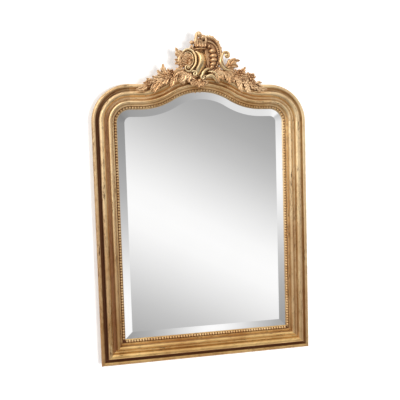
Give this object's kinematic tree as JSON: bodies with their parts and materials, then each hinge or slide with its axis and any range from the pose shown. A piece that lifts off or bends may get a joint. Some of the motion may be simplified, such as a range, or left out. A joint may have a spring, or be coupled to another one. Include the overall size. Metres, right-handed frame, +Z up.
{
  "type": "overmantel mirror",
  "caption": "Arched overmantel mirror in a gilt moulded frame with pearl beading, a bevelled plate and an asymmetrical carved shell crest.",
  "frame": {"origin": "on the floor plane under the frame's foot, at mid width and mid depth", "axes": "+Z up the frame, +X to the viewer's right, -Y towards the viewer, the wall on the +Y side"},
  "size_m": [0.9, 0.0833, 1.3503],
  "materials": {
    "gilding": "water-gilt gesso over carved wood, mid gold, worn to red bole in the hollows",
    "worn_gilding": "gilt gesso over wood, rubbed greenish gold with dark streaks",
    "bright_gilding": "burnished pale gold over carved wood",
    "red_bole": "matt gilding rubbed through to red-brown bole",
    "mirror_plate": "silvered plate glass, bevelled edge",
    "pine": "bare pine, aged",
    "old_pine": "rough sawn pine, dark with age",
    "iron": "forged iron, dull brown-black"
  },
  "bodies": {
    "frame": {"left_stile": "gilding", "right_stile": "gilding", "bottom_rail": "worn_gilding", "left_corner": "gilding", "right_corner": "gilding", "top_rail": "worn_gilding", "left_mitre_key": "pine", "right_mitre_key": "pine", "left_stile_key": "pine", "right_stile_key": "pine", "left_shoulder_key": "pine", "right_shoulder_key": "pine", "left_pearls": "bright_gilding", "top_pearls": "bright_gilding", "right_pearls": "bright_gilding", "bottom_pearls": "bright_gilding", "mirror_glass": "mirror_plate", "back_board_1": "old_pine", "back_board_2": "old_pine", "back_board_3": "old_pine", "back_board_4": "old_pine", "glazing_block_1": "pine", "glazing_block_2": "pine", "glazing_block_3": "pine", "glazing_block_4": "pine", "glazing_block_5": "pine", "glazing_block_6": "pine", "left_hanger_plate": "iron", "right_hanger_plate": "iron", "crest_core": "pine", "crest_dowel_1": "pine", "crest_dowel_2": "pine", "crest_stay": "iron", "cartouche": "bright_gilding", "left_c_scroll": "bright_gilding", "right_c_scroll": "bright_gilding", "finial": "bright_gilding", "bud": "gilding", "shell_rim": "bright_gilding", "shell": "gilding", "rocaille_panel": "red_bole", "centre_scrolls": "gilding", "left_wing": "gilding", "left_acanthus": "worn_gilding", "right_leaf": "gilding", "right_acanthus": "gilding", "centre_drop": "worn_gilding", "left_rosette": "gilding", "left_flower": "gilding", "right_rosette": "gilding", "right_flower": "gilding", "left_spray": "gilding", "right_spray": "gilding"},
    "left_ring": {"left_hanging_ring": "iron"},
    "right_ring": {"right_hanging_ring": "iron"}
  },
  "joints": [
    {"name": "left_ring_swing", "type": "hinge", "parent": "frame", "child": "left_ring", "pos_m": [-0.411, 0.03595, 0.905], "axis": [1, 0, 0], "range_deg": [0, 120]},
    {"name": "right_ring_swing", "type": "hinge", "parent": "frame", "child": "right_ring", "pos_m": [0.411, 0.03595, 0.905], "axis": [1, 0, 0], "range_deg": [0, 120]}
  ]
}
